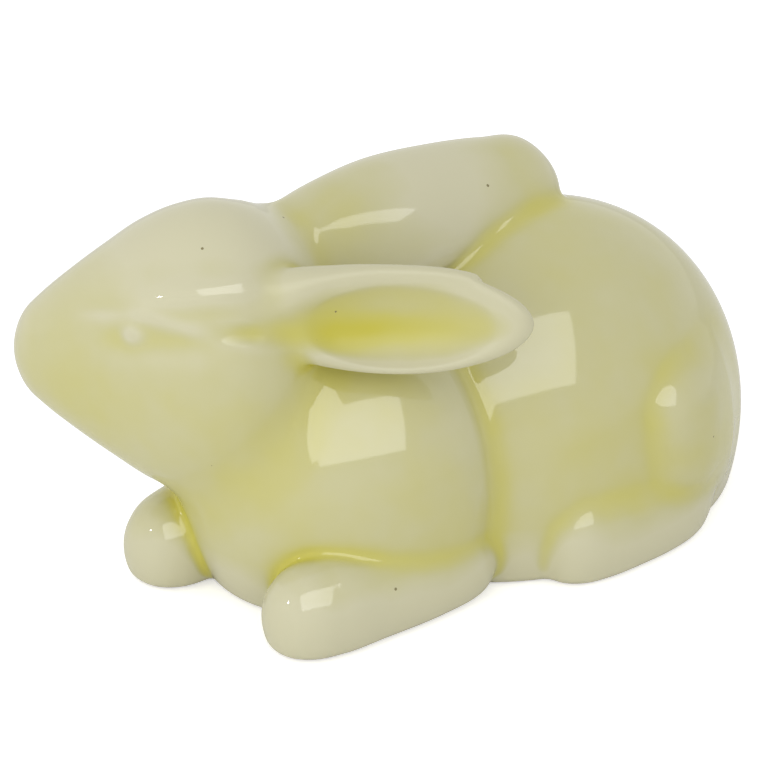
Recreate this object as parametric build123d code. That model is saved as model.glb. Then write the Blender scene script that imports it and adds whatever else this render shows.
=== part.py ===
from build123d import *
import math
import os

# Glazed ceramic rabbit, crouching with its head turned to its right. Millimetres.
# The base lies on Z 0, the trunk runs along X with the chest at -X, the rabbit's left is -Y.

# Casting
wall = 3.6
base_thickness = 4.0
vent_diameter = 7.0
vent_back = 8.0
overrun = 6.0
neck_passage_diameter = 12.0

# Each egg is lofted through this many rings, the first and last this many degrees round from its ends
egg_sections = 11
egg_end_turn = 9.0

# Haunch: one large egg that leans down towards the rump
haunch_place_x = 23.5
haunch_height = 20.0
haunch_front = 56.0
haunch_back = 59.0
haunch_half_width = 46.0
haunch_half_height = 59.4
haunch_lean = 10.4

# Shoulders and chest
chest_place_x = -30.0
chest_shift = 4.0
chest_height = 25.5
chest_front = 45.5
chest_back = 36.0
chest_half_width = 40.5
chest_half_height = 44.5

# Head: its nose tip, the way that it points, and its outline from nose to nape
nose_x = -98.0
nose_y = 53.5
nose_height = 61.1
head_turn = 48.0
head_dip = 4.3
head_length = 77.0
head_half_height = 39.6
head_half_width = 27.4
head_outline_shares = [
    (0.000, 0.110),
    (0.039, 0.257),
    (0.091, 0.365),
    (0.175, 0.503),
    (0.312, 0.703),
    (0.435, 0.865),
    (0.545, 0.959),
    (0.675, 1.000),
    (0.831, 0.892),
    (0.935, 0.622),
    (0.990, 0.250),
]

# Eyes: an almond hollow with the eyeball in it, placed along the head from the nose
eye_back = 33.5
eye_rise = 14.5
eye_sink = 1.8
eyeball_radius = 2.7
eye_hollow_front = 8.0
eye_hollow_back = 16.0
eye_hollow_height = 6.0
eye_hollow_depth = 2.0
eye_tilt = 8.0

# Ears: a leaf with a dished cup, a thin rim along one edge and a broader one along the other
ear_rim = 1.0
ear_brim = 3.0
ear_cup_rise = 10.0
ear_cup_floor = 3.4
ear_cup_start = 3.0
ear_cup_outline_shares = [
    (0.00, 0.14),
    (0.08, 0.46),
    (0.22, 0.78),
    (0.42, 1.00),
    (0.65, 0.98),
    (0.83, 0.76),
    (0.95, 0.42),
    (1.00, 0.14),
]

# Left ear, laid back over the shoulder. The face is the way that the cup opens.
left_ear_root_x = -70.7
left_ear_root_y = 2.0
left_ear_root_height = 82.6
left_ear_tip_x = -9.7
left_ear_tip_y = -41.2
left_ear_tip_height = 76.0
left_ear_face = (-0.62, -0.74, 0.22)
left_ear_half_width = 13.5
left_ear_half_thickness = 6.2
left_ear_outline_shares = [
    (0.00, 0.40),
    (0.10, 0.70),
    (0.25, 0.90),
    (0.45, 1.00),
    (0.65, 0.97),
    (0.82, 0.78),
    (0.94, 0.48),
    (1.00, 0.14),
]

# The roll along the left ear's upper edge, which carries it out of the head
roll_root_x = -65.5
roll_root_y = 2.1
roll_root_height = 89.8
roll_tip_x = -26.2
roll_tip_y = -24.6
roll_tip_height = 90.0
roll_half_width = 8.0
roll_half_thickness = 6.0
roll_outline_shares = [
    (0.00, 0.85),
    (0.20, 1.00),
    (0.45, 0.72),
    (0.70, 0.42),
    (0.90, 0.22),
    (1.00, 0.12),
]

# Right ear, laid along the back with its cup turned down and away
right_ear_root_x = -54.0
right_ear_root_y = 12.5
right_ear_root_height = 88.0
right_ear_tip_x = 41.1
right_ear_tip_y = 11.2
right_ear_tip_height = 80.8
right_ear_face = (0.0, 0.66, -0.75)
right_ear_half_width = 17.1
right_ear_half_thickness = 9.0
right_ear_outline_shares = [
    (0.00, 0.58),
    (0.10, 0.69),
    (0.25, 0.87),
    (0.45, 1.00),
    (0.65, 0.95),
    (0.82, 0.83),
    (0.94, 0.66),
    (1.00, 0.14),
]

# Forepaws, from toe to elbow, with the right one a little ahead of the left
forepaw_toe_x = -81.2
forepaw_lead = 1.3
forepaw_shift = 0.5
forepaw_inset = 16.0
forepaw_spread = chest_half_width - forepaw_inset
forepaw_height = 8.2
forepaw_length = 68.0
forepaw_half_width = 12.3
forepaw_half_height = 14.5
forepaw_turn = 4.2
forepaw_outline_shares = [
    (0.000, 0.150),
    (0.024, 0.513),
    (0.097, 0.855),
    (0.226, 1.000),
    (0.419, 0.966),
    (0.677, 0.880),
    (0.903, 0.620),
    (0.990, 0.150),
]

# Hind feet, from toe to heel
hind_foot_toe_x = -3.5
hind_foot_inset = 7.2
hind_foot_spread = haunch_half_width - hind_foot_inset
hind_foot_height = 8.0
hind_foot_length = 55.0
hind_foot_half_width = 11.3
hind_foot_half_height = 16.0
hind_foot_turn = 2.0
hind_foot_outline_shares = [
    (0.000, 0.150),
    (0.028, 0.463),
    (0.111, 0.800),
    (0.259, 0.970),
    (0.450, 1.000),
    (0.620, 0.970),
    (0.780, 0.840),
    (0.926, 0.520),
    (1.000, 0.150),
]

# Tail, a low mound on the left of the rump
tail_x = 41.0
tail_inset = 13.0
tail_y = tail_inset - haunch_half_width
tail_top_height = 49.5
tail_length = 42.0
tail_half_width = 19.0
tail_half_thickness = 14.5
tail_turn = 60.0
tail_outline_shares = [
    (0.00, 0.14),
    (0.06, 0.50),
    (0.16, 0.78),
    (0.32, 0.95),
    (0.52, 1.00),
    (0.76, 0.93),
    (0.92, 0.66),
    (1.00, 0.14),
]


def lofted(sections):
    """A smooth form along X through upright ellipses of (place, half width, half height)."""
    rings = [
        Plane(origin=(x, 0, 0), x_dir=(0, 1, 0), z_dir=(1, 0, 0)) * Ellipse(wide, high)
        for x, wide, high in sections
    ]
    return loft(rings)


def egg(front, back, half_width, half_height):
    """An egg about the origin: front reaches towards -X and back towards +X."""
    sections = []
    for step in range(egg_sections):
        turn = math.radians(egg_end_turn + (180 - 2 * egg_end_turn) * step / (egg_sections - 1))
        reach = back if turn > math.pi / 2 else front
        ring = math.sin(turn)
        sections.append((-reach * math.cos(turn), half_width * ring, half_height * ring))
    return lofted(sections)


def outlined(length, half_width, half_height, outline_shares, inset=0):
    """A form whose outline runs from its tip at the origin to its far end at +X, or its inside."""
    run = length - 2 * inset
    wide = half_width - inset
    high = half_height - inset
    return lofted([(inset + run * at, wide * out, high * out) for at, out in outline_shares])


def main_piece(form):
    """The largest piece of a form that another has cut through."""
    return max(form.solids(), key=lambda solid: solid.volume)


def placed(form, origin, back_way, up_way=(0, 0, 1)):
    """Stands a form with its X along back_way and its Z as near up_way as it can be."""
    along = Vector(back_way).normalized()
    side = Vector(*up_way).cross(along).normalized()
    return Plane(origin=origin, x_dir=along, z_dir=along.cross(side)) * form


def level_way(turn, dip=0):
    """The way back from a tip that points to -X, turned towards +Y and dipped, in degrees."""
    flat = math.cos(math.radians(dip))
    turn = math.radians(turn)
    return (flat * math.cos(turn), -flat * math.sin(turn), math.sin(math.radians(dip)))


def haunch_form(inset=0):
    form = egg(
        haunch_front - inset,
        haunch_back - inset,
        haunch_half_width - inset,
        haunch_half_height - inset,
    )
    return Pos(haunch_place_x, 0, haunch_height) * Rot(0, haunch_lean, 0) * form


def chest_form(inset=0):
    form = egg(
        chest_front - inset,
        chest_back - inset,
        chest_half_width - inset,
        chest_half_height - inset,
    )
    return Pos(chest_place_x, chest_shift, chest_height) * form


def below(height):
    """Everything under a height, wide enough for the whole figure."""
    span = 4 * (haunch_front + haunch_back)
    slab = Box(span, span, span, align=(Align.CENTER, Align.CENTER, Align.MAX))
    return Pos(0, 0, height) * slab


def head_frame(form):
    return placed(form, (nose_x, nose_y, nose_height), level_way(head_turn, head_dip))


def head_form(inset=0):
    form = outlined(
        head_length, head_half_width, head_half_height, head_outline_shares, inset
    )
    return head_frame(form)


def share_at(outline_shares, place):
    """The share of the full size that an outline has at a place along it."""
    for (at, out), (next_at, next_out) in zip(outline_shares, outline_shares[1:]):
        if at <= place <= next_at:
            return out + (next_out - out) * (place - at) / (next_at - at)
    return outline_shares[-1][1]


def neck_passage():
    """The hole cut through the chest under the head, so that the two hollows share one vent."""
    start = Vector(chest_place_x, chest_shift, chest_height)
    middle = head_frame(Pos(head_length / 2, 0, 0) * Sphere(neck_passage_diameter)).center()
    run = middle - start
    bore = Cylinder(neck_passage_diameter / 2, run.length, align=(Align.CENTER, Align.CENTER, Align.MIN))
    return Plane(origin=start, z_dir=run) * bore


def eye_parts(side):
    """The almond hollow and the eyeball on one side of the head, -1 for the left."""
    share = share_at(head_outline_shares, eye_back / head_length)
    lift = eye_rise / (head_half_height * share)
    skin = head_half_width * share * math.sqrt(1 - lift**2)
    place = Pos(eye_back, side * skin, eye_rise)
    hollow = egg(eye_hollow_front, eye_hollow_back, eye_hollow_depth, eye_hollow_height / 2)
    ball = Pos(0, -side * eye_sink, 0) * Sphere(eyeball_radius)
    return head_frame(place * Rot(0, eye_tilt, 0) * hollow), head_frame(place * ball)


def leaf(root, tip, face, half_width, half_thickness, outline_shares):
    run = Vector(*tip) - Vector(*root)
    form = outlined(run.length, half_width, half_thickness, outline_shares)
    return placed(form, root, run, face)


def ear_cup(root, tip, face, half_width, half_thickness):
    """The dish scooped out of the side of an ear that face points to."""
    run = Vector(*tip) - Vector(*root)
    form = outlined(
        run.length - ear_cup_start - ear_rim,
        half_width - (ear_rim + ear_brim) / 2,
        ear_cup_rise + half_thickness - ear_cup_floor,
        ear_cup_outline_shares,
    )
    middle = Pos(ear_cup_start, (ear_rim - ear_brim) / 2, ear_cup_rise)
    return placed(middle * form, root, run, face)


def forepaw(side):
    form = outlined(
        forepaw_length, forepaw_half_width, forepaw_half_height, forepaw_outline_shares
    )
    toe = (
        forepaw_toe_x - side * forepaw_lead,
        forepaw_shift + side * forepaw_spread,
        forepaw_height,
    )
    return placed(form, toe, level_way(-side * forepaw_turn))


def hind_foot(side):
    form = outlined(
        hind_foot_length,
        hind_foot_half_width,
        hind_foot_half_height,
        hind_foot_outline_shares,
    )
    toe = (hind_foot_toe_x, side * hind_foot_spread, hind_foot_height)
    return placed(form, toe, level_way(side * hind_foot_turn))


def tail_form():
    form = outlined(tail_length, tail_half_width, tail_half_thickness, tail_outline_shares)
    return placed(form, (tail_x, tail_y, tail_top_height), (0, 0, -1), level_way(tail_turn))


os.makedirs("parts", exist_ok=True)
floor = below(0)
haunch = haunch_form()
chest = chest_form()
outer_head = head_form()
parts = {}

inside = haunch_form(wall) + chest_form(wall) - below(base_thickness)
vent = Pos(vent_back, 0, 0) * Cylinder(vent_diameter / 2, 2 * (base_thickness + overrun))
parts["torso_shell"] = haunch + chest - floor - inside - vent - neck_passage()

left_hollow, left_ball = eye_parts(-1)
right_hollow, right_ball = eye_parts(1)
head = outer_head - left_hollow - right_hollow + left_ball + right_ball
parts["head_shell"] = main_piece(head - head_form(wall) - chest)

for side, word in ((-1, "left"), (1, "right")):
    parts[word + "_forepaw"] = main_piece(forepaw(side) - haunch - chest - floor)
    parts[word + "_hind_foot"] = main_piece(hind_foot(side) - haunch - chest - floor)

left_ear = (
    (left_ear_root_x, left_ear_root_y, left_ear_root_height),
    (left_ear_tip_x, left_ear_tip_y, left_ear_tip_height),
    left_ear_face,
    left_ear_half_width,
    left_ear_half_thickness,
)
roll = leaf(
    (roll_root_x, roll_root_y, roll_root_height),
    (roll_tip_x, roll_tip_y, roll_tip_height),
    left_ear_face,
    roll_half_width,
    roll_half_thickness,
    roll_outline_shares,
)
form = leaf(*left_ear, left_ear_outline_shares) + roll - ear_cup(*left_ear)
parts["left_ear"] = main_piece(form - outer_head - chest)
right_ear = (
    (right_ear_root_x, right_ear_root_y, right_ear_root_height),
    (right_ear_tip_x, right_ear_tip_y, right_ear_tip_height),
    right_ear_face,
    right_ear_half_width,
    right_ear_half_thickness,
)
form = leaf(*right_ear, right_ear_outline_shares) - ear_cup(*right_ear)
parts["right_ear"] = main_piece(form - outer_head - chest - haunch)
parts["tail"] = main_piece(tail_form() - haunch - parts["left_hind_foot"] - floor)

for name, solid in parts.items():
    export_step(solid, f"parts/{name}.step")
    print(name, len(solid.solids()), round(solid.volume), solid.bounding_box())
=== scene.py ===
import math

import bpy
import numpy as np
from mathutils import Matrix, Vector


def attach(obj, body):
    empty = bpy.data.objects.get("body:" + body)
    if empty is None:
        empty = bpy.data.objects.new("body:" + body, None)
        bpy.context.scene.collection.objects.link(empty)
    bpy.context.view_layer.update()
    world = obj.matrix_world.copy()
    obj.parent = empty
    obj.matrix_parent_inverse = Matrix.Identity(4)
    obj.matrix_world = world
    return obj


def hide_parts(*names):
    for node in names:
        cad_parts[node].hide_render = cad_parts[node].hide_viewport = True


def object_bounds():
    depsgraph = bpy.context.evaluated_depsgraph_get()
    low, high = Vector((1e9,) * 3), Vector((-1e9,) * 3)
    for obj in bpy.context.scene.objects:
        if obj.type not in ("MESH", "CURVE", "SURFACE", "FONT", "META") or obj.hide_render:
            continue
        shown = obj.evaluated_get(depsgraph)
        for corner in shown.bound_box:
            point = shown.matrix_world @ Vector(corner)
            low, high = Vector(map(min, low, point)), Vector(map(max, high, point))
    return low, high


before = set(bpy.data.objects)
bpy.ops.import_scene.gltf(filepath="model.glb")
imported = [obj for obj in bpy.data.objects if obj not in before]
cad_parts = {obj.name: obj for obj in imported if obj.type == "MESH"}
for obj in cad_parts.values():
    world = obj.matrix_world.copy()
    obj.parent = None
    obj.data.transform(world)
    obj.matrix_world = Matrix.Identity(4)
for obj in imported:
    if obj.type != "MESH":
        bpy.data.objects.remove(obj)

# The glaze has drawn every lute line into one skin, so the figure is sculpted as a smooth blend of
# the frame's forms, and the skin is then parted into one piece for each CAD node.
# The sculpt works in millimetres, in the row frame. Meshes, lamps and camera are in metres.
MM = 0.001
loaded_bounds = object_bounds()

# Trunk, as two eggs: their sizes are (front, back, half width, half height)
haunch_place = (23.5, 0.0, 20.0)
haunch_size = (56.0, 59.0, 46.0, 59.4)
haunch_lean = 10.4
chest_place = (-30.0, 4.0, 25.5)
chest_size = (45.5, 36.0, 40.5, 44.5)
waist_blend = 3.5

# Head
nose = (-98.0, 53.5, 61.1)
head_turn = 48.0
head_dip = 4.3
head_length = 77.0
head_half_width = 27.4
head_half_height = 39.6
head_outline = [
    (0.0, 0.0),
    (0.039, 0.257),
    (0.091, 0.365),
    (0.175, 0.503),
    (0.312, 0.703),
    (0.435, 0.865),
    (0.545, 0.959),
    (0.675, 1.0),
    (0.831, 0.892),
    (0.935, 0.622),
    (1.0, 0.0),
]
neck_blend = 9.0

# Low relief on the head, as smooth ridges and dips in its skin. Each one: height, its two ends as
# (back, rise) from the nose, its half widths below and above, and how squarely it ends. They are
# the almond dip round the eye, the eyeball, the lid's front and back, and the temple.
head_relief = [
    (-0.95, (25.0, 12.8), (54.0, 15.4), 3.6, 3.6, 4),
    (1.60, (31.2, 14.7), (37.4, 15.3), 2.7, 2.7, 2),
    (0.55, (20.0, 16.6), (42.0, 20.6), 2.2, 2.2, 4),
    (0.55, (34.0, 20.8), (54.0, 17.2), 2.2, 2.2, 4),
    (2.15, (34.0, 25.0), (67.0, 26.2), 4.0, 5.7, 4),
]
relief_depth = 9.0

# Ears. Each one is a flat leaf from its root to its tip, with a cup scooped out of its face.
left_ear_outline = [
    (0.0, 0.30),
    (0.10, 0.53),
    (0.20, 0.74),
    (0.33, 0.91),
    (0.48, 1.0),
    (0.66, 0.97),
    (0.82, 0.78),
    (0.94, 0.48),
    (1.0, 0.0),
]
right_ear_outline = [
    (0.0, 0.58),
    (0.10, 0.69),
    (0.25, 0.87),
    (0.45, 1.0),
    (0.65, 0.95),
    (0.82, 0.83),
    (0.94, 0.66),
    (1.0, 0.0),
]
cup_outline = [
    (0.0, 0.0),
    (0.08, 0.22),
    (0.18, 0.48),
    (0.32, 0.82),
    (0.48, 1.0),
    (0.65, 0.98),
    (0.83, 0.76),
    (0.95, 0.44),
    (1.0, 0.0),
]
cup_spread = 0.5
cup_rise = 10.0
cup_floor = 3.4
cup_start = 3.0
cup_tip_rim = 1.0
cup_sag = -0.5
# How round a cup's rim is along its lower and its upper edge
rim_blend = (1.6, 6.0)

# "cup" is the cup's own root and tip where they differ from the leaf's, "roll" the root and tip of
# a roll along the leaf's upper edge, and "front" the place where the rim starts on the cheek.
ears = {
    "left_ear": dict(
        roll=((-69.5, -0.4, 85.0), (-22.0, -28.2, 88.2)),
        cup=((-69.5, 1.6, 79.8), (-9.7, -41.2, 77.3)),
        front=(-70.5, -7.0, 78.5),
        root=(-70.7, 2.0, 81.3),
        tip=(-9.7, -41.2, 76.0),
        face=(-0.62, -0.74, 0.22),
        half_width=13.2,
        half_thickness=6.2,
        outline=left_ear_outline,
    ),
    "right_ear": dict(
        root=(-54.0, 12.5, 88.0),
        tip=(41.1, 11.2, 80.8),
        face=(0.0, 0.66, -0.75),
        half_width=17.1,
        half_thickness=9.0,
        outline=right_ear_outline,
    ),
}
ear_on_back_blend = 3.0
far_root_blend = 7.0
near_root_blend = 2.4
near_ear_blend = 0.8
# The ears' roots blend more widely this near to the head: full, and how far on it fades
root_near = 2.0
root_fade = 8.0
roll_half_width = 8.5
roll_half_thickness = 6.0
roll_outline = [
    (0.0, 0.52),
    (0.22, 0.90),
    (0.45, 0.74),
    (0.70, 0.50),
    (0.90, 0.27),
    (1.0, 0.0),
]
roll_blend = 5.0

# Feet
forepaw_toe = (-81.2, 24.5, 8.2)
forepaw_shift = 0.5
forepaw_lead = 1.3
forepaw_turn = 4.2
forepaw_size = (68.0, 12.3, 14.5)
forepaw_outline = [
    (0.0, 0.0),
    (0.024, 0.513),
    (0.097, 0.855),
    (0.226, 1.0),
    (0.419, 0.966),
    (0.677, 0.88),
    (0.903, 0.62),
    (1.0, 0.0),
]
hind_foot_toe = (-3.5, 38.8, 8.0)
hind_foot_turn = 2.0
hind_foot_size = (55.0, 11.3, 16.0)
hind_foot_outline = [
    (0.0, 0.0),
    (0.028, 0.463),
    (0.111, 0.80),
    (0.259, 0.97),
    (0.45, 1.0),
    (0.62, 0.97),
    (0.78, 0.84),
    (0.926, 0.52),
    (1.0, 0.0),
]
foot_blend = 2.2

# Tail, from its top down
tail_top = (41.0, -33.0, 49.5)
tail_size = (42.0, 19.0, 14.5)
tail_turn = 60.0
tail_outline = [
    (0.0, 0.0),
    (0.06, 0.50),
    (0.16, 0.78),
    (0.32, 0.95),
    (0.52, 1.0),
    (0.76, 0.93),
    (0.92, 0.66),
    (1.0, 0.0),
]
tail_blend = 2.4
# Behind the tail it blends into the rump more widely: from this X, over this length
tail_back = 44.0
tail_back_fade = 14.0
tail_back_blend = 5.0

# Base
base_round = 2.6
vent_place = (8.0, 0.0)
vent_radius = 3.5
vent_depth = 6.0
vent_edge = 0.8

# How far a blunt end runs on, as a share of its form's length
end_reach = 0.05

# Sculpting grid
voxel = 0.7
coarse_steps = 4
coarse_reach = 2.2
grid_margin = 3.0
slope_step = 0.15
draws_to_skin = 4

# Glaze
pool_reach = 2.4
wide_pool_reach = 6.0
# The pool in a cup: its middle and half length as shares of the cup's length, then millimetres
dish_middle = 0.47
dish_reach = 0.26
dish_sag = -2.6
dish_half_width = 4.4
dish_depth = 2.0
# The near ear is satin, and the head round it: how far from the ear, and from the rim's front
satin_reach = 3.3
satin_fade = 1.5
satin_into_head = 6.0
satin_head_fade = 4.0
satin_front_reach = 10.0
satin_front_fade = 5.0
# The glaze is paler on the crown, from this height up, and round the foot of the figure. This is
# partly thinner glaze and partly painted light: light falling on the top of the head, and light
# bounced up from the floor onto the low parts.
crown_start = 62.0
crown_rise = 40.0
crown_reach = 5.0
foot_top = 17.0
foot_rise = 14.0
foot_pool = 0.12
# The underside is bare: it faces down, and is this near to the ground
bare_facing = 0.8
bare_fade = 0.15
bare_top = 0.5


def turned(way, degrees):
    """A level way turned about Z."""
    c, s = math.cos(math.radians(degrees)), math.sin(math.radians(degrees))
    return np.array([c * way[0] - s * way[1], s * way[0] + c * way[1], way[2]])


def way_back(turn, dip=0.0):
    """The way towards the rump, turned to the rabbit's left and raised by some degrees."""
    flat = math.cos(math.radians(dip))
    turn = math.radians(turn)
    return np.array([flat * math.cos(turn), -flat * math.sin(turn), math.sin(math.radians(dip))])


class Place:
    """A form's own axes: x along it from its tip or front, z as near up as it can be."""

    def __init__(self, origin, along, up=(0.0, 0.0, 1.0)):
        self.origin = np.array(origin, float)
        x = np.array(along, float)
        x /= np.linalg.norm(x)
        y = np.cross(up, x)
        y /= np.linalg.norm(y)
        self.axes = np.stack([x, y, np.cross(x, y)])

    def local(self, points):
        return (points - self.origin) @ self.axes.T

    def moved(self, offset):
        """The same axes, from a place given in them."""
        other = Place.__new__(Place)
        other.axes = self.axes
        other.origin = self.origin + np.array(offset, float) @ self.axes
        return other

    def pitched(self, degrees):
        """The same origin, with x turned up towards z."""
        c, s = math.cos(math.radians(degrees)), math.sin(math.radians(degrees))
        other = Place.__new__(Place)
        x, y, z = self.axes
        other.axes = np.stack([c * x + s * z, y, c * z - s * x])
        other.origin = self.origin
        return other


def egg(points, place, size):
    """Distance to an egg, whose front reaches towards -x."""
    front, back, wide, high = size
    p = place.local(points)
    reach = np.where(p[:, 0] < 0, front, back)
    q = np.stack([p[:, 0] / reach, p[:, 1] / wide, p[:, 2] / high], 1)
    g = np.stack([q[:, 0] / reach, q[:, 1] / wide, q[:, 2] / high], 1)
    k = np.linalg.norm(q, axis=1)
    return k * (k - 1) / np.maximum(np.linalg.norm(g, axis=1), 1e-6)


def smooth_table(outline, count=160):
    """An outline's squared radius on an even table, through a cubic curve, and its slope."""
    at = np.array([a for a, _ in outline])
    square = np.array([b * b for _, b in outline])
    slope = np.gradient(square, at)
    t = np.linspace(0, 1, count)
    i = np.clip(np.searchsorted(at, t) - 1, 0, len(at) - 2)
    h = at[i + 1] - at[i]
    u = (t - at[i]) / h
    value = (
        (2 * u**3 - 3 * u**2 + 1) * square[i]
        + (u**3 - 2 * u**2 + u) * h * slope[i]
        + (3 * u**2 - 2 * u**3) * square[i + 1]
        + (u**3 - u**2) * h * slope[i + 1]
    )
    return t, value, np.gradient(value, t)


def outlined(points, place, length, wide, high, outline):
    """Distance to a form whose elliptical rings follow an outline from its tip."""
    t, square, slope = smooth_table(outline)
    p = place.local(points)
    x = p[:, 0] / length
    first = max(slope[0], square[0] / end_reach)
    s2 = np.interp(x, t, square) + first * np.minimum(x, 0) + slope[-1] * np.maximum(x - 1, 0)
    ds = np.interp(x, t, slope)
    value = (p[:, 1] / wide) ** 2 + (p[:, 2] / high) ** 2 - s2
    steep = np.sqrt(
        (ds / length) ** 2 + (2 * p[:, 1] / wide**2) ** 2 + (2 * p[:, 2] / high**2) ** 2
    )
    return value / np.maximum(steep, 0.5 / max(wide, high))


def joined(a, b, blend):
    """The union of two forms, with a fillet of glaze and slip between them."""
    h = np.maximum(blend - np.abs(a - b), 0) / blend
    return np.minimum(a, b) - h * h * blend / 4


def cut(a, b, blend):
    """One form without the other, with its edge rounded."""
    return -joined(-a, b, blend)


head_place = Place(nose, way_back(head_turn, head_dip))


def skin_at(back, rise):
    """How far out the head's side is, at a place along it and a height."""
    t, square, _ = smooth_table(head_outline)
    share = math.sqrt(float(np.interp(back / head_length, t, square)))
    lift = rise / (head_half_height * share)
    return head_half_width * share * math.sqrt(1 - lift * lift)


def on_head(side, back, rise):
    """A place on the head's skin, in the row frame."""
    return head_place.moved((back, side * skin_at(back, rise), rise)).origin


def relief(points):
    """How far the eyes, brows and temples stand out of the head's skin at each point."""
    total = 0.0
    for side in (1, -1):
        for height, start, end, below, above, square in head_relief:
            first, last = on_head(side, *start), on_head(side, *end)
            back, rise = (start[0] + end[0]) / 2, (start[1] + end[1]) / 2
            up = on_head(side, back, rise + 2) - on_head(side, back, rise - 2)
            p = Place(on_head(side, back, rise), last - first, up).local(points)
            along = 2 * p[:, 0] / np.linalg.norm(last - first)
            near = np.exp(-((p[:, 1] / relief_depth) ** 4))
            across = p[:, 2] / np.where(p[:, 2] > 0, above, below)
            total = total + height * near * np.exp(-(along**square) - across**2)
    return total


def leaf(points, root, tip, ear, half_width, half_thickness, outline):
    """Distance to a leaf from its root to its tip, facing as the ear does."""
    root, tip = np.array(root), np.array(tip)
    place = Place(root, tip - root, ear["face"])
    length = float(np.linalg.norm(tip - root))
    return outlined(points, place, length, half_width, half_thickness, outline)


def cup_place(ear):
    """The axes of an ear's cup, and its length."""
    root, tip = np.array(ear.get("cup", (ear["root"], ear["tip"])))
    return Place(root, tip - root, ear["face"]), float(np.linalg.norm(tip - root))


def whole_leaf(points, ear):
    """Distance to an ear before its cup is scooped out."""
    thick = ear["half_thickness"]
    form = leaf(points, ear["root"], ear["tip"], ear, ear["half_width"], thick, ear["outline"])
    if "roll" in ear:
        roll = leaf(points, *ear["roll"], ear, roll_half_width, roll_half_thickness, roll_outline)
        form = joined(form, roll, roll_blend)
    return form


def dished(points, form, ear):
    """A form with an ear's cup scooped out of it, thin at its lower edge and round at its upper."""
    place, length = cup_place(ear)
    cup = outlined(
        points,
        place.moved((cup_start, cup_sag, cup_rise)),
        length - cup_start - cup_tip_rim,
        ear["half_width"] + cup_spread,
        cup_rise + ear["half_thickness"] - cup_floor,
        cup_outline,
    )
    upwards = np.clip(0.5 + place.local(points)[:, 1] / (1.4 * ear["half_width"]), 0, 1)
    thin, broad = rim_blend
    return cut(form, cup, thin + (broad - thin) * upwards)


def in_dish(points, ear):
    """1 where the glaze stands deepest in an ear's dish, falling off on all sides."""
    place, length = cup_place(ear)
    p = place.local(points)
    along = (p[:, 0] / length - dish_middle) / dish_reach
    across = (p[:, 1] - dish_sag) / dish_half_width
    inner = np.clip(p[:, 2] + ear["half_thickness"] - dish_depth, 0, 1)
    return inner * np.exp(-(along**2) - across**2)


def forms(points):
    """Distance from each point to each node's own form."""
    found = {}
    haunch = egg(points, Place(haunch_place, (1, 0, 0)).pitched(-haunch_lean), haunch_size)
    chest = egg(points, Place(chest_place, (1, 0, 0)), chest_size)
    found["torso_shell"] = joined(haunch, chest, waist_blend)
    found["head_shell"] = outlined(
        points, head_place, head_length, head_half_width, head_half_height, head_outline
    )
    for name, ear in ears.items():
        found[name] = dished(points, whole_leaf(points, ear), ear)
    for side, word in ((-1, "left"), (1, "right")):
        toe = (
            forepaw_toe[0] - side * forepaw_lead,
            forepaw_shift + side * forepaw_toe[1],
            forepaw_toe[2],
        )
        place = Place(toe, way_back(-side * forepaw_turn))
        found[word + "_forepaw"] = outlined(points, place, *forepaw_size, forepaw_outline)
        toe = (hind_foot_toe[0], side * hind_foot_toe[1], hind_foot_toe[2])
        place = Place(toe, way_back(side * hind_foot_turn))
        found[word + "_hind_foot"] = outlined(points, place, *hind_foot_size, hind_foot_outline)
    tail_face = turned((1.0, 0.0, 0.0), -tail_turn)
    tail = Place(tail_top, (0.0, 0.0, -1.0), tail_face)
    found["tail"] = outlined(points, tail, *tail_size, tail_outline)
    return found


def figure(points):
    """Distance from each point to the whole glazed figure."""
    found = forms(points)
    head = found["head_shell"] - relief(points)
    whole = joined(found["torso_shell"], head, neck_blend)
    behind = np.clip((points[:, 0] - tail_back) / tail_back_fade, 0, 1)
    whole = joined(whole, found["tail"], tail_blend + tail_back_blend * behind)
    for word in ("left", "right"):
        whole = joined(whole, found[word + "_forepaw"], foot_blend)
        whole = joined(whole, found[word + "_hind_foot"], foot_blend)
    right = found["right_ear"]
    back_side = joined(whole, right, ear_on_back_blend)
    root_side = joined(whole, right, far_root_blend)
    near_head = np.clip(1 - (head - root_near) / root_fade, 0, 1)
    whole = back_side + (root_side - back_side) * near_head
    left = whole_leaf(points, ears["left_ear"])
    whole = joined(whole, left, near_root_blend * near_head + near_ear_blend)
    whole = dished(points, whole, ears["left_ear"])
    whole = cut(whole, points[:, 2], base_round)
    radius = np.hypot(points[:, 0] - vent_place[0], points[:, 1] - vent_place[1]) - vent_radius
    vent = np.maximum(radius, points[:, 2] - vent_depth)
    return cut(whole, vent, vent_edge)


def in_chunks(points, chunk=150000):
    """The figure's distance at many points, a chunk at a time."""
    value = np.empty(len(points), np.float32)
    for start in range(0, len(points), chunk):
        value[start : start + chunk] = figure(points[start : start + chunk])
    return value


def fine_field(low, high):
    """The figure's distance on a fine grid, worked out only near the skin."""
    coarse = voxel * coarse_steps
    cells = np.ceil((high - low) / coarse).astype(int)
    corner = np.stack(np.meshgrid(*[np.arange(n + 1) for n in cells], indexing="ij"), -1)
    shape = corner.shape[:3]
    rough = in_chunks(low + coarse * corner.reshape(-1, 3)).reshape(shape)
    field = rough[:-1, :-1, :-1]
    for axis in range(3):
        field = np.repeat(field, coarse_steps, axis)
    near = np.abs(rough[:-1, :-1, :-1]) < coarse_reach * coarse
    blocks = np.argwhere(near)
    inner = np.stack(np.meshgrid(*[np.arange(coarse_steps)] * 3, indexing="ij"), -1).reshape(-1, 3)
    index = (blocks[:, None, :] * coarse_steps + inner[None]).reshape(-1, 3)
    field[index[:, 0], index[:, 1], index[:, 2]] = in_chunks(low + voxel * index)
    return field


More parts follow.
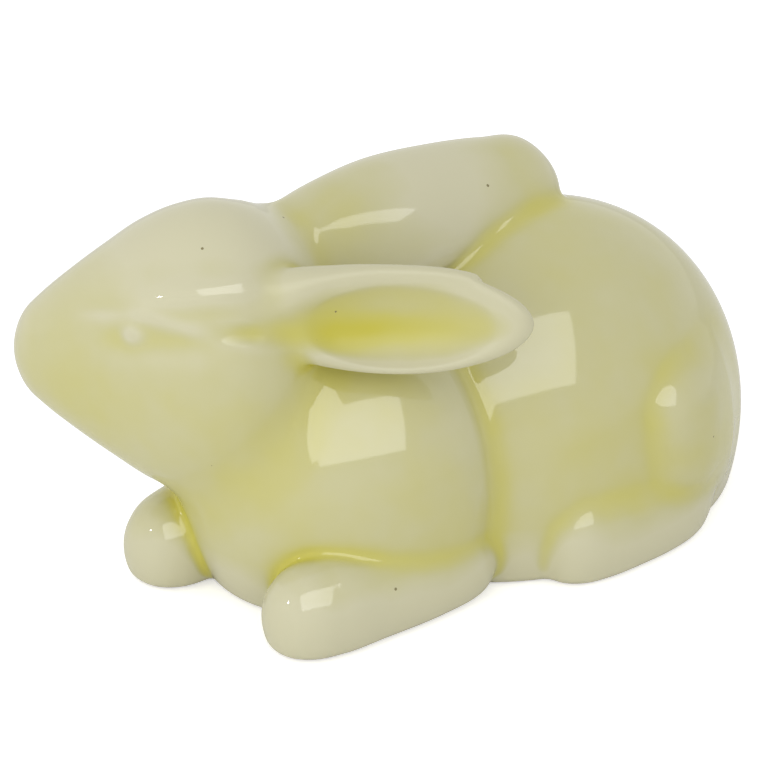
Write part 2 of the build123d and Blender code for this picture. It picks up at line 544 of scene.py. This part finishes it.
def skin_mesh(field, low):
    """Surface nets: a vertex for each cell that the skin crosses, a quad for each crossed edge."""
    inside = field < 0
    cell = np.zeros(tuple(n - 1 for n in field.shape), np.int8)
    for dx in (0, 1):
        for dy in (0, 1):
            for dz in (0, 1):
                cell += inside[
                    dx : field.shape[0] - 1 + dx,
                    dy : field.shape[1] - 1 + dy,
                    dz : field.shape[2] - 1 + dz,
                ]
    crossed = (cell > 0) & (cell < 8)
    index = np.argwhere(crossed)
    number = np.full(cell.shape, -1, np.int64)
    number[tuple(index.T)] = np.arange(len(index))
    quads = []
    for axis in range(3):
        u, v = [a for a in range(3) if a != axis]
        lower = [slice(0, n) for n in field.shape]
        upper = [slice(0, n) for n in field.shape]
        lower[axis] = slice(0, field.shape[axis] - 1)
        upper[axis] = slice(1, field.shape[axis])
        a, b = inside[tuple(lower)], inside[tuple(upper)]
        for starts_inside in (True, False):
            edges = np.argwhere((a != b) & (a == starts_inside))
            edges = edges[(edges[:, u] > 0) & (edges[:, v] > 0)]
            corners = []
            for du, dv in ((1, 1), (0, 1), (0, 0), (1, 0)):
                step = np.zeros(3, int)
                step[u], step[v] = -du, -dv
                corners.append(number[tuple((edges + step).T)])
            quad = np.stack(corners, 1)
            outward = starts_inside == (axis != 1)
            quads.append(quad if outward else quad[:, ::-1])
    quads = np.concatenate(quads)
    quads = quads[(quads >= 0).all(1)]
    return low + voxel * (index + 0.5), quads


def slope_at(points):
    """The figure's outward direction and distance at each point."""
    parts = []
    for axis in range(3):
        move = np.zeros(3)
        move[axis] = slope_step
        parts.append(figure(points + move) - figure(points - move))
    slope = np.stack(parts, 1) / (2 * slope_step)
    size = np.linalg.norm(slope, axis=1, keepdims=True)
    return slope / np.maximum(size, 1e-6), size[:, 0]


def drawn_to_skin(points):
    """The points moved onto the skin itself, along the way that the distance falls."""
    for _ in range(draws_to_skin):
        way, size = slope_at(points)
        move = figure(points) / np.maximum(size, 0.3)
        points = points - way * np.clip(move, -voxel, voxel)[:, None]
    return points


def blurred(volume, reach):
    """The volume averaged over about the reach on all sides."""
    half = max(1, int(round(reach / voxel / 1.7)))
    for _ in range(3):
        for axis in range(3):
            first = np.take(volume, [0] * (half + 1), axis)
            last = np.take(volume, [-1] * half, axis)
            padded = np.concatenate([first, volume, last], axis)
            total = np.cumsum(padded, axis, dtype=np.float32)
            ahead = np.take(total, range(2 * half + 1, total.shape[axis]), axis)
            behind = np.take(total, range(0, total.shape[axis] - 2 * half - 1), axis)
            volume = (ahead - behind) / (2 * half + 1)
    return volume


def sampled(volume, low, points):
    """A grid's value at each point, between its eight neighbours."""
    place = (points - low) / voxel
    base = np.clip(np.floor(place).astype(int), 0, np.array(volume.shape) - 2)
    part = place - base
    value = 0
    for corner in np.ndindex(2, 2, 2):
        weight = np.prod(np.where(np.array(corner) == 1, part, 1 - part), axis=1)
        spot = base + np.array(corner)
        value = value + weight * volume[spot[:, 0], spot[:, 1], spot[:, 2]]
    return value


# Sculpt the skin
low = np.array(loaded_bounds[0]) / MM - grid_margin
high = np.array(loaded_bounds[1]) / MM + grid_margin
field = fine_field(low, high)
points, quads = skin_mesh(field, low)
points = drawn_to_skin(points)
normals, _ = slope_at(points)
filled = np.clip(0.5 - field / voxel, 0, 1).astype(np.float32)
pool = sampled(blurred(filled, pool_reach), low, points) - 0.5
wide_pool = sampled(blurred(filled, wide_pool_reach), low, points) - 0.5
dish = np.maximum(*[in_dish(points, ear) for ear in ears.values()])
from_forms = forms(points)
from_head, from_near_ear = from_forms["head_shell"], np.abs(from_forms["left_ear"])
from_front = np.linalg.norm(points - np.array(ears["left_ear"]["front"]), axis=1)
height = points[:, 2]
satin = np.clip((satin_reach - from_near_ear) / satin_fade, 0, 1)
satin = satin * np.clip((from_head + satin_into_head) / satin_head_fade, 0, 1)
satin = np.maximum(satin, np.clip((satin_front_reach - from_front) / satin_front_fade, 0, 1))
satin = satin * satin * (3 - 2 * satin)
# Paler on the crown of the head: partly thinner glaze, partly painted light on the top of the head
crown = np.clip((height - crown_start) / crown_rise, 0, 1)
crown = crown * np.clip(1 - from_head / crown_reach, 0, 1)
# Paler low down, except where the glaze pools: partly thinner glaze, partly painted light bounced
# up from the floor
foot = np.clip((foot_top - height) / foot_rise, 0, 1) * np.clip(1 - pool / foot_pool, 0, 1)
bare = np.clip((-normals[:, 2] - bare_facing) / bare_fade, 0, 1) * (height < bare_top)
skin_values = dict(
    pool=pool, wide_pool=wide_pool, dish=dish, satin=satin, crown=crown, foot=foot, bare=bare
)


# Part the skin into one piece for each node
middle = points[quads].mean(1)
found = forms(middle)
names = list(found)
owner = np.argmin(np.stack([found[name] for name in names], 1), 1)


def piece_of(name, faces):
    """A node's share of the skin, with its glaze values and smooth normals."""
    used, faces = np.unique(faces, return_inverse=True)
    faces = faces.reshape(-1, 4)
    mesh = bpy.data.meshes.new(name + "_skin")
    mesh.from_pydata((points[used] * MM).tolist(), [], faces.tolist())
    mesh.update()
    for label, values in skin_values.items():
        made = mesh.attributes.new(label, "FLOAT", "POINT")
        made.data.foreach_set("value", values[used].astype(np.float32))
    mesh.polygons.foreach_set("use_smooth", np.ones(len(mesh.polygons), bool))
    mesh.normals_split_custom_set_from_vertices(normals[used].tolist())
    piece = bpy.data.objects.new(name + "_skin", mesh)
    bpy.context.scene.collection.objects.link(piece)
    return piece


def linear(r, g, b):
    """A colour as it is seen, from 0 to 255, turned into the light that a shader takes."""
    parts = [c / 255 for c in (r, g, b)]
    return tuple(c / 12.92 if c <= 0.04045 else ((c + 0.055) / 1.055) ** 2.4 for c in parts) + (1,)


def glaze_material():
    """Celadon glaze: deep yellow where it pools, nearly white where it thins over an edge."""
    material = bpy.data.materials.new("celadon_glaze")
    material.use_nodes = True
    nodes, links = material.node_tree.nodes, material.node_tree.links
    shader = nodes["Principled BSDF"]

    def summed(socket, share, total=None):
        """A socket times its share, added to the total so far."""
        step = nodes.new("ShaderNodeMath")
        step.operation = "MULTIPLY_ADD"
        step.inputs[1].default_value = share
        step.inputs[2].default_value = 0
        links.new(socket, step.inputs[0])
        if total:
            links.new(total, step.inputs[2])
        return step.outputs[0]

    def stored(label):
        """One of the skin's own values."""
        node = nodes.new("ShaderNodeAttribute")
        node.attribute_name = label
        return node.outputs["Fac"]

    spot = nodes.new("ShaderNodeTexCoord")

    def cloud(scale, detail):
        """Soft noise about zero."""
        node = nodes.new("ShaderNodeTexNoise")
        node.inputs["Scale"].default_value = scale
        node.inputs["Detail"].default_value = detail
        links.new(spot.outputs["Object"], node.inputs["Vector"])
        centred = nodes.new("ShaderNodeMath")
        centred.operation = "SUBTRACT"
        centred.inputs[1].default_value = 0.5
        links.new(node.outputs["Fac"], centred.inputs[0])
        return centred.outputs[0]

    # How thick the glaze stands, and its colour at each thickness; the foot and crown terms also
    # hold painted light
    mix = summed(stored("pool"), 1.0)
    mix = summed(stored("wide_pool"), 0.55, mix)
    mix = summed(stored("dish"), 0.30, mix)
    # Partly painted light: paler round the foot, as if lit from the floor below
    mix = summed(stored("foot"), -0.22, mix)
    # Partly painted light: paler on the crown, as if lit from above
    mix = summed(stored("crown"), -0.13, mix)
    mix = summed(cloud(22, 3), 0.22, mix)
    mix = summed(cloud(90, 2), 0.06, mix)
    ramp = nodes.new("ShaderNodeMapRange")
    ramp.inputs["From Min"].default_value = -0.32
    ramp.inputs["From Max"].default_value = 0.34
    links.new(mix, ramp.inputs["Value"])
    colours = nodes.new("ShaderNodeValToRGB")
    stops = [
        (0.05, linear(206, 202, 170)),
        (0.25, linear(207, 203, 170)),
        (0.40, linear(200, 196, 148)),
        (0.50, linear(199, 194, 130)),
        (0.62, linear(200, 194, 108)),
        (0.85, linear(200, 192, 80)),
    ]
    band = colours.color_ramp
    while len(band.elements) < len(stops):
        band.elements.new(0.5)
    for element, (at, colour) in zip(band.elements, stops):
        element.position = at
        element.color = colour
    links.new(ramp.outputs["Result"], colours.inputs["Fac"])

    # Pinholes, and the bare underside
    pinholes = nodes.new("ShaderNodeTexVoronoi")
    pinholes.inputs["Scale"].default_value = 60
    links.new(spot.outputs["Object"], pinholes.inputs["Vector"])
    pinhole = nodes.new("ShaderNodeMath")
    pinhole.operation = "LESS_THAN"
    pinhole.inputs[1].default_value = 0.024
    links.new(pinholes.outputs["Distance"], pinhole.inputs[0])

    def mixed(share, under, over):
        """A colour laid over another by its share."""
        node = nodes.new("ShaderNodeMix")
        node.data_type = "RGBA"
        links.new(share, node.inputs["Factor"])
        links.new(under, node.inputs["A"])
        node.inputs["B"].default_value = over
        return node.outputs["Result"]

    colour = mixed(pinhole.outputs[0], colours.outputs["Color"], linear(132, 124, 84))
    colour = mixed(stored("bare"), colour, linear(222, 214, 196))
    links.new(colour, shader.inputs["Base Color"])

    # A faint ripple, and the satin of the near ear
    ripple = nodes.new("ShaderNodeBump")
    ripple.inputs["Strength"].default_value = 1
    ripple.inputs["Distance"].default_value = 0.00007
    links.new(cloud(62, 1), ripple.inputs["Height"])
    links.new(ripple.outputs["Normal"], shader.inputs["Normal"])
    rough = nodes.new("ShaderNodeMapRange")
    rough.inputs["To Min"].default_value = 0.07
    # Above about 0.274 the denoiser draws a line where the roughness crosses it
    rough.inputs["To Max"].default_value = 0.27
    dull = nodes.new("ShaderNodeMath")
    dull.operation = "MULTIPLY_ADD"
    dull.use_clamp = True
    dull.inputs[1].default_value = 2
    links.new(stored("bare"), dull.inputs[0])
    links.new(stored("satin"), dull.inputs[2])
    links.new(dull.outputs[0], rough.inputs["Value"])
    links.new(rough.outputs["Result"], shader.inputs["Roughness"])
    gloss = nodes.new("ShaderNodeMapRange")
    gloss.inputs["To Min"].default_value = 0.5
    gloss.inputs["To Max"].default_value = 0.16
    links.new(stored("satin"), gloss.inputs["Value"])
    links.new(gloss.outputs["Result"], shader.inputs["Specular IOR Level"])
    shader.inputs["IOR"].default_value = 1.5
    return material


glaze = glaze_material()
for number, name in enumerate(names):
    piece = piece_of(name, quads[owner == number])
    piece.data.materials.append(glaze)
    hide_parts(name)
    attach(piece, "root")


# Floor, world, lamps and camera
def stage_floor(half=3.0, level=-0.0001):
    """A pale floor a hair below the base. It glows a little to the camera, so it looks white."""
    mesh = bpy.data.meshes.new("floor")
    turns = ((-half, -half), (half, -half), (half, half), (-half, half))
    corners = [(x, y, level) for x, y in turns]
    mesh.from_pydata(corners, [], [(0, 1, 2, 3)])
    floor = bpy.data.objects.new("floor", mesh)
    bpy.context.scene.collection.objects.link(floor)
    material = bpy.data.materials.new("floor")
    material.use_nodes = True
    nodes, links = material.node_tree.nodes, material.node_tree.links
    out = nodes["Material Output"]
    matt = nodes["Principled BSDF"]
    matt.inputs["Base Color"].default_value = (0.93, 0.93, 0.93, 1)
    matt.inputs["Roughness"].default_value = 1
    matt.inputs["Specular IOR Level"].default_value = 0
    path = nodes.new("ShaderNodeLightPath")
    glow = nodes.new("ShaderNodeEmission")
    glow.inputs["Color"].default_value = (1, 1, 1, 1)
    share = nodes.new("ShaderNodeMath")
    share.operation = "MULTIPLY"
    share.inputs[1].default_value = 0.5
    links.new(path.outputs["Is Camera Ray"], share.inputs[0])
    links.new(share.outputs[0], glow.inputs["Strength"])
    both = nodes.new("ShaderNodeAddShader")
    links.new(matt.outputs[0], both.inputs[0])
    links.new(glow.outputs[0], both.inputs[1])
    links.new(both.outputs[0], out.inputs["Surface"])
    mesh.materials.append(material)


def white_world(ambient):
    """White to the camera and in reflections, and softer as light on the figure."""
    world = bpy.data.worlds.new("studio")
    bpy.context.scene.world = world
    world.use_nodes = True
    nodes, links = world.node_tree.nodes, world.node_tree.links
    back = nodes["Background"]
    back.inputs["Color"].default_value = (1, 1, 1, 1)
    path = nodes.new("ShaderNodeLightPath")
    seen = nodes.new("ShaderNodeMath")
    seen.operation = "MAXIMUM"
    links.new(path.outputs["Is Camera Ray"], seen.inputs[0])
    links.new(path.outputs["Is Transmission Ray"], seen.inputs[1])
    gloss = nodes.new("ShaderNodeMath")
    gloss.operation = "MAXIMUM"
    links.new(seen.outputs[0], gloss.inputs[0])
    links.new(path.outputs["Is Glossy Ray"], gloss.inputs[1])
    mix = nodes.new("ShaderNodeMapRange")
    mix.inputs["To Min"].default_value = ambient
    mix.inputs["To Max"].default_value = 1
    links.new(gloss.outputs[0], mix.inputs["Value"])
    links.new(mix.outputs["Result"], back.inputs["Strength"])


# Each panel: name, turn and rise of its place as seen from the figure, distance, size, brightness,
# and what it lights. The gloss panels are only seen mirrored in the glaze, and the strip only in
# the far ear.
panels = [
    ("main_panel", -22.0, 43.0, 1.2, (1.30, 0.80), 3.0, "gloss"),
    ("small_lamp", -100.0, 25.0, 1.2, (0.10, 0.10), 25.0, "gloss"),
    ("fill", -80.0, 38.0, 1.5, (1.60, 1.20), 0.66, "matt"),
    ("low_fill", -62.0, 3.0, 1.5, (1.80, 0.60), 1.25, "matt"),
]
ear_strip = ("ear_strip", 50.0, 48.0, 1.2, (0.15, 0.34), 3.0, "gloss")


def away(turn, rise):
    """The way out from the figure at a turn about it and a rise above the floor."""
    turn, rise = math.radians(turn), math.radians(rise)
    return Vector(
        (math.sin(turn) * math.cos(rise), -math.cos(turn) * math.cos(rise), math.sin(rise))
    )


def softbox(name, turn, rise, far, size, glow, lights):
    """A panel lamp that faces the figure."""
    lamp = bpy.data.lights.new(name, "AREA")
    lamp.shape = "RECTANGLE"
    lamp.size, lamp.size_y = size
    lamp.energy = glow * math.pi * size[0] * size[1]
    holder = bpy.data.objects.new(name, lamp)
    holder.location = view_target + away(turn, rise) * far
    holder.rotation_euler = (-away(turn, rise)).to_track_quat("-Z", "Y").to_euler()
    holder.visible_diffuse = lights == "matt"
    holder.visible_glossy = lights == "gloss"
    bpy.context.scene.collection.objects.link(holder)
    return holder


view_turn = -40.0
view_rise = 28.0
view_target = Vector((-10.7, 16.6, 37.5)) * MM
view_distance = 4.0
view_width = 190.0 * MM
towards = away(view_turn, view_rise)
camera = bpy.data.cameras.new("camera")
camera.sensor_width = 36
camera.lens = camera.sensor_width * view_distance / view_width
camera_holder = bpy.data.objects.new("camera", camera)
camera_holder.location = view_target + towards * view_distance
camera_holder.rotation_euler = (-towards).to_track_quat("-Z", "Y").to_euler()
bpy.context.scene.collection.objects.link(camera_holder)
bpy.context.scene.camera = camera_holder

stage_floor()
white_world(0.80)
for panel in panels:
    softbox(*panel)
strip = softbox(*ear_strip)
strip_sees = bpy.data.collections.new("ear_strip_sees")
strip_sees.objects.link(bpy.data.objects["right_ear_skin"])
strip.light_linking.receiver_collection = strip_sees

bpy.context.scene.view_settings.view_transform = "Standard"
